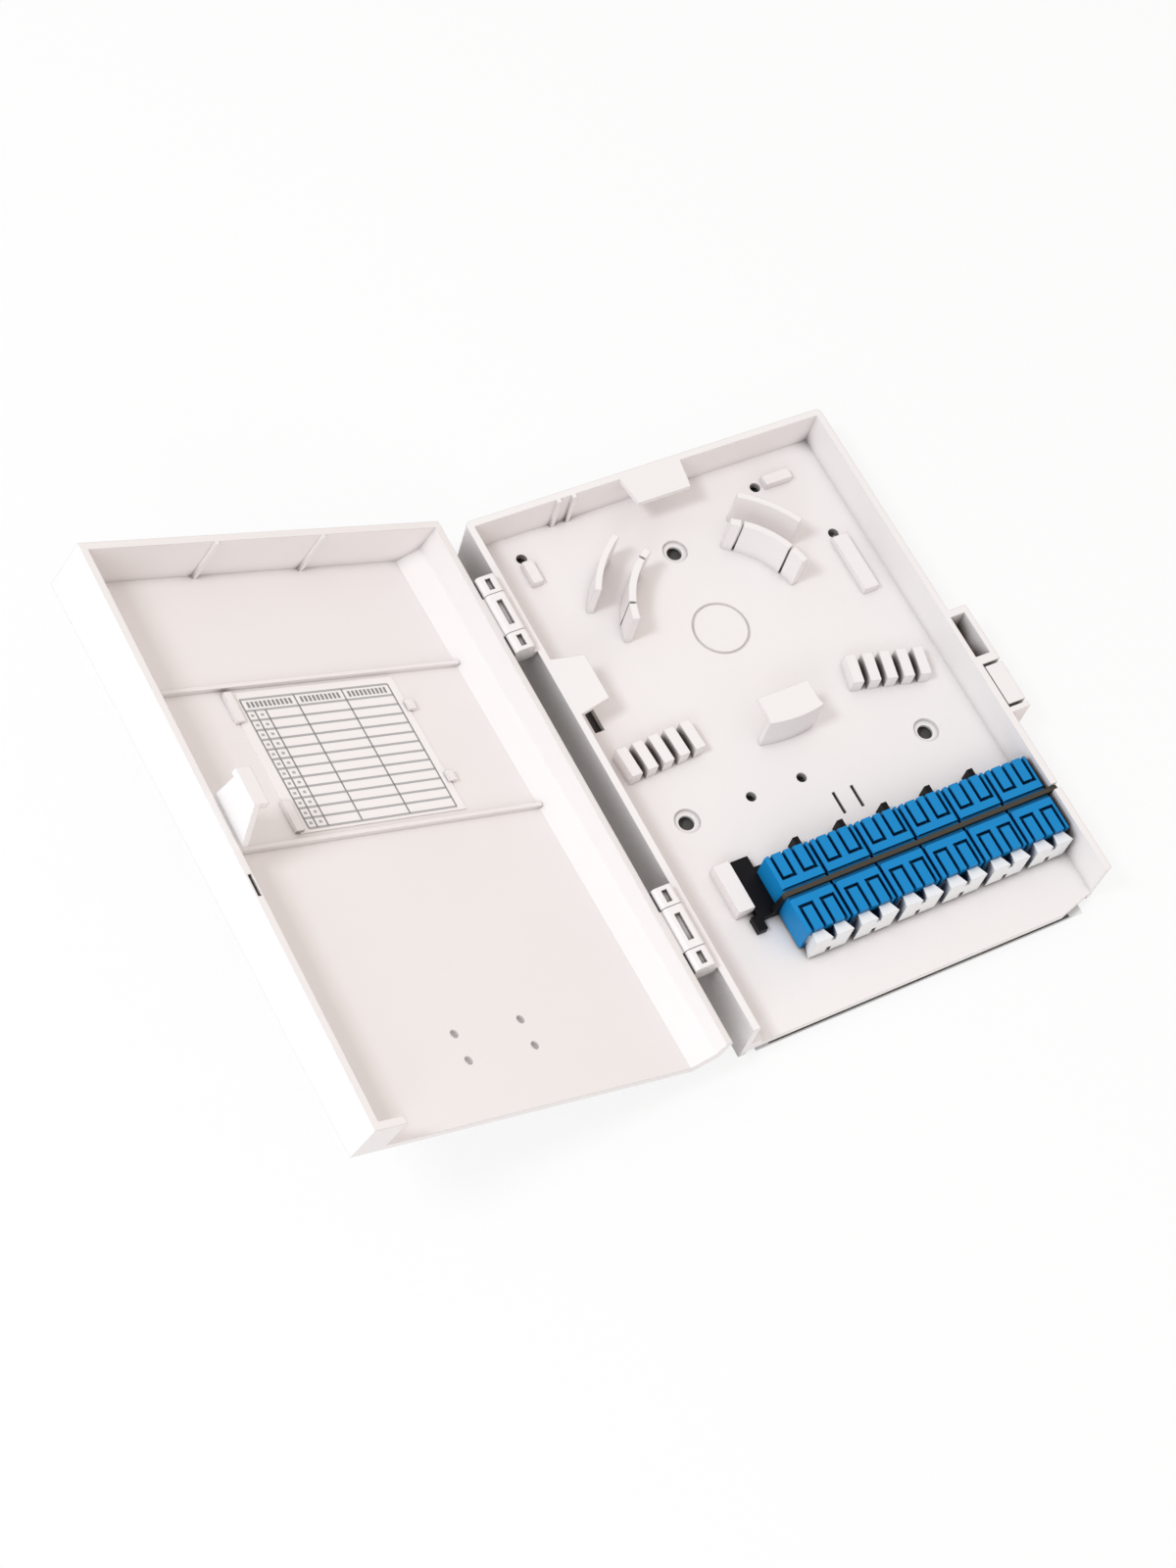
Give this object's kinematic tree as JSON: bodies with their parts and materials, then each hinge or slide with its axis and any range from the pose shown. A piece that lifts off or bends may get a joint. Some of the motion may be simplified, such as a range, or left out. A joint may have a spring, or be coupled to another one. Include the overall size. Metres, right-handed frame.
{
  "type": "fibre wall box",
  "caption": "Shallow hinged wall box that joins fibre cables: a tray with ring guides, splice combs and a row of duplex adapters, and a cover that swings open on side hinges.",
  "frame": {"origin": "middle of the base tray's back face, in the plane of the wall", "axes": "+X away from the hinge towards the latch, +Y to the closed short side, +Z out of the wall"},
  "size_m": [0.2305, 0.159, 0.0685],
  "materials": {
    "shell": "moulded off-white",
    "frame": "moulded black",
    "adapter": "moulded blue",
    "cap": "soft white",
    "sleeve": "ground",
    "card": "printed table"
  },
  "bodies": {
    "base": {"base_tray": "shell", "upper_hinge_pin": "shell", "lower_hinge_pin": "shell", "adapter_frame": "frame", "adapter_body_1": "adapter", "front_dust_cap_1": "cap", "left_sleeve_1": "sleeve", "right_sleeve_1": "sleeve", "adapter_body_2": "adapter", "front_dust_cap_2": "cap", "left_sleeve_2": "sleeve", "right_sleeve_2": "sleeve", "adapter_body_3": "adapter", "front_dust_cap_3": "cap", "left_sleeve_3": "sleeve", "right_sleeve_3": "sleeve", "adapter_body_4": "adapter", "front_dust_cap_4": "cap", "left_sleeve_4": "sleeve", "right_sleeve_4": "sleeve", "adapter_body_5": "adapter", "front_dust_cap_5": "cap", "left_sleeve_5": "sleeve", "right_sleeve_5": "sleeve", "adapter_body_6": "adapter", "front_dust_cap_6": "cap", "left_sleeve_6": "sleeve", "right_sleeve_6": "sleeve"},
    "cover": {"cover_shell": "shell", "label_card": "card"}
  },
  "joints": [
    {"name": "cover_hinge", "type": "hinge", "parent": "base", "child": "cover", "pos_m": [-0.0589, 0, 0.0161], "axis": [0, 1, 0], "range_deg": [0, 157.4]}
  ]
}
